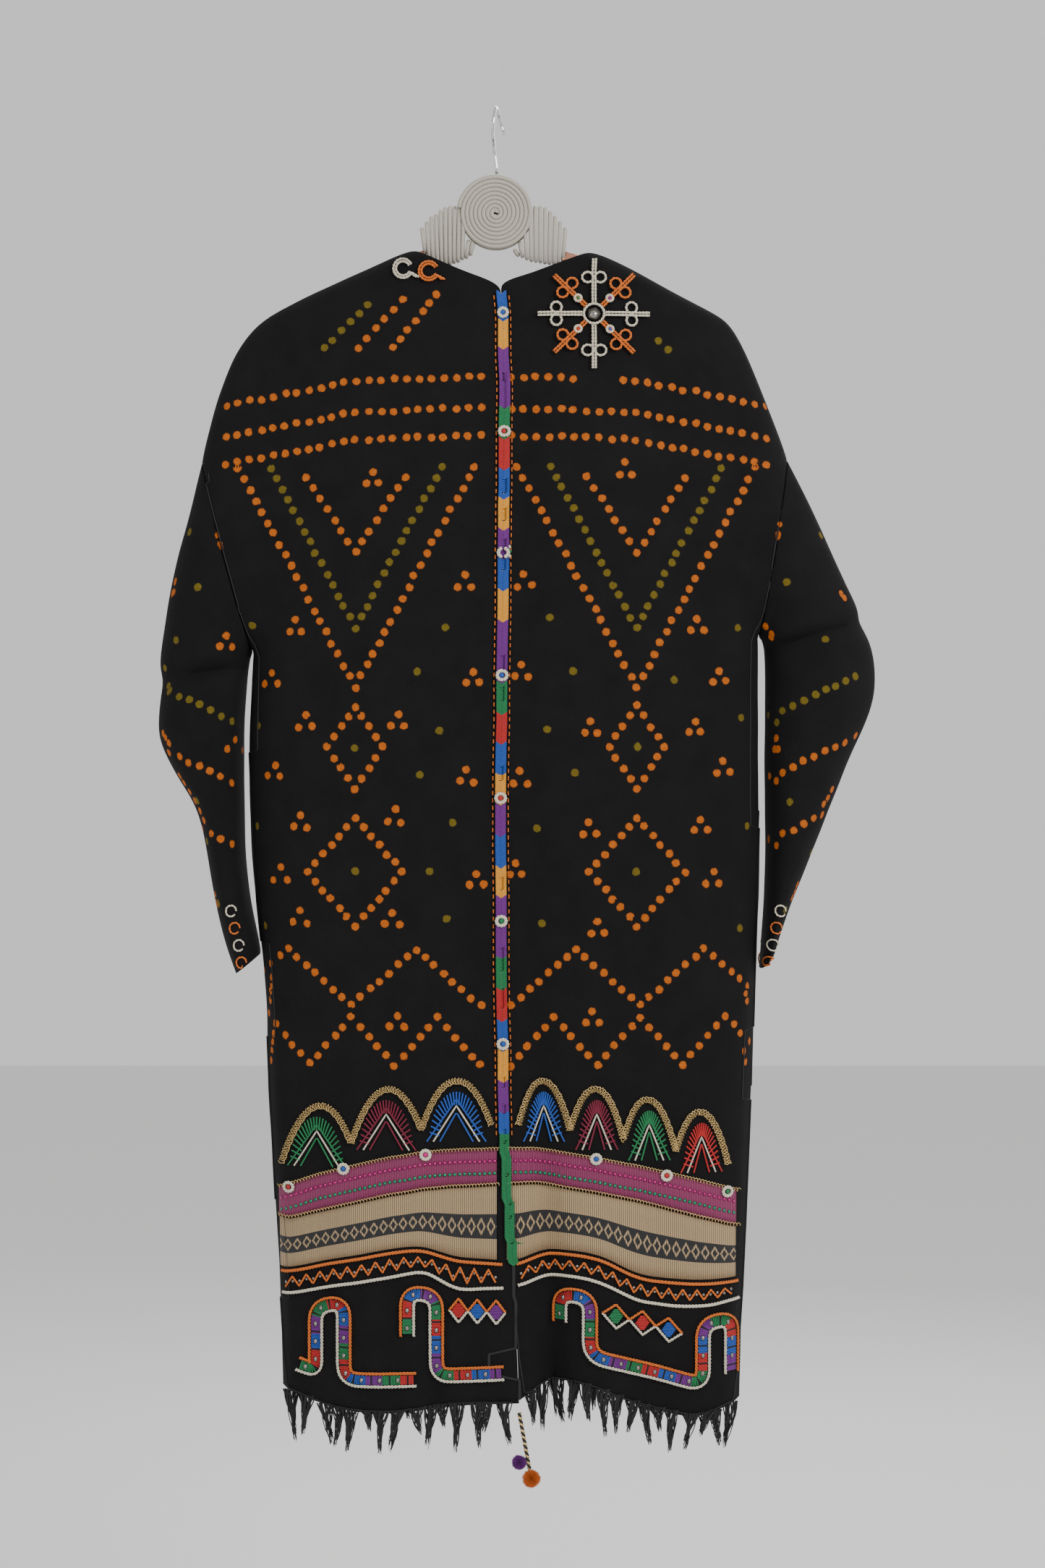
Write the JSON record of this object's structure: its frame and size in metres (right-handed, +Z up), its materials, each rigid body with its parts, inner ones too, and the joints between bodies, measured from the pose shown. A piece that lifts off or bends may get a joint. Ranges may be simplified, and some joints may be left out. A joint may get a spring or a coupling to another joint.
{
  "type": "bedouin coat on a coat hanger",
  "caption": "Knee length black wool coat with tie dyed dots, couched cord embroidery, ribbon border and fringe, open at the front, on a cord wound hanger with a wire hook.",
  "frame": {"origin": "inside of the hook's crown, where a rod bears on it", "axes": "+Z up; the coat's back faces -Y; +X is to the right of somebody who looks at the back"},
  "size_m": [0.677, 0.1204, 1.2854],
  "materials": {
    "wool": "black wool twill with resist dyed dots",
    "fringe": "loose twisted warp ends",
    "ribbon": "pink and green metallic ribbon",
    "seam_braid": "couched braid in changing colours with ring buttons",
    "gold_coil": "gold coil cord",
    "cord_orange": "couched orange cord",
    "cord_cream": "couched cream cord",
    "button": "white ring buttons with coloured middles",
    "tail_cord": "doubled black and gold cord",
    "ball_purple": "purple wool",
    "ball_orange": "orange wool",
    "hook": "bright plated wire",
    "hanger_cord": "grey beige cotton cord",
    "hanger_arm": "copper coloured metal"
  },
  "bodies": {
    "root": {"back_left": "wool", "back_right": "wool", "button_left_inner": "button", "button_left_middle": "button", "button_left_outer": "button", "button_right_inner": "button", "button_right_middle": "button", "button_right_outer": "button", "cane_left_inner": "cord_orange", "cane_left_outer": "cord_orange", "cane_right": "cord_orange", "chain_left": "cord_orange", "chain_right": "cord_orange", "fringe_back_left": "fringe", "fringe_back_right": "fringe", "fringe_front_left": "fringe", "fringe_front_right": "fringe", "front_left": "wool", "front_right": "wool", "gold_scallop_left": "gold_coil", "gold_scallop_right": "gold_coil", "hanger_arm_left": "hanger_arm", "hanger_arm_right": "hanger_arm", "hanger_disc": "hanger_cord", "hanger_hook": "hook", "hanger_wrap_left": "hanger_cord", "hanger_wrap_right": "hanger_cord", "line_cream_back_left": "cord_cream", "line_cream_back_right": "cord_cream", "line_cream_front_left": "cord_cream", "line_cream_front_right": "cord_cream", "line_orange_back_left": "cord_orange", "line_orange_back_right": "cord_orange", "line_orange_front_left": "cord_orange", "line_orange_front_right": "cord_orange", "ribbon_back_left": "ribbon", "ribbon_back_right": "ribbon", "ribbon_front_left": "ribbon", "ribbon_front_right": "ribbon", "rosette_left_cream": "cord_cream", "rosette_left_orange": "cord_orange", "rosette_right": "cord_cream", "seam_braid": "seam_braid", "sleeve_left": "wool", "sleeve_right": "wool", "tail_ball_lower": "ball_orange", "tail_ball_upper": "ball_purple", "tail_cord": "tail_cord", "zigzag_left": "cord_orange", "zigzag_right": "cord_orange"}
  },
  "joints": []
}
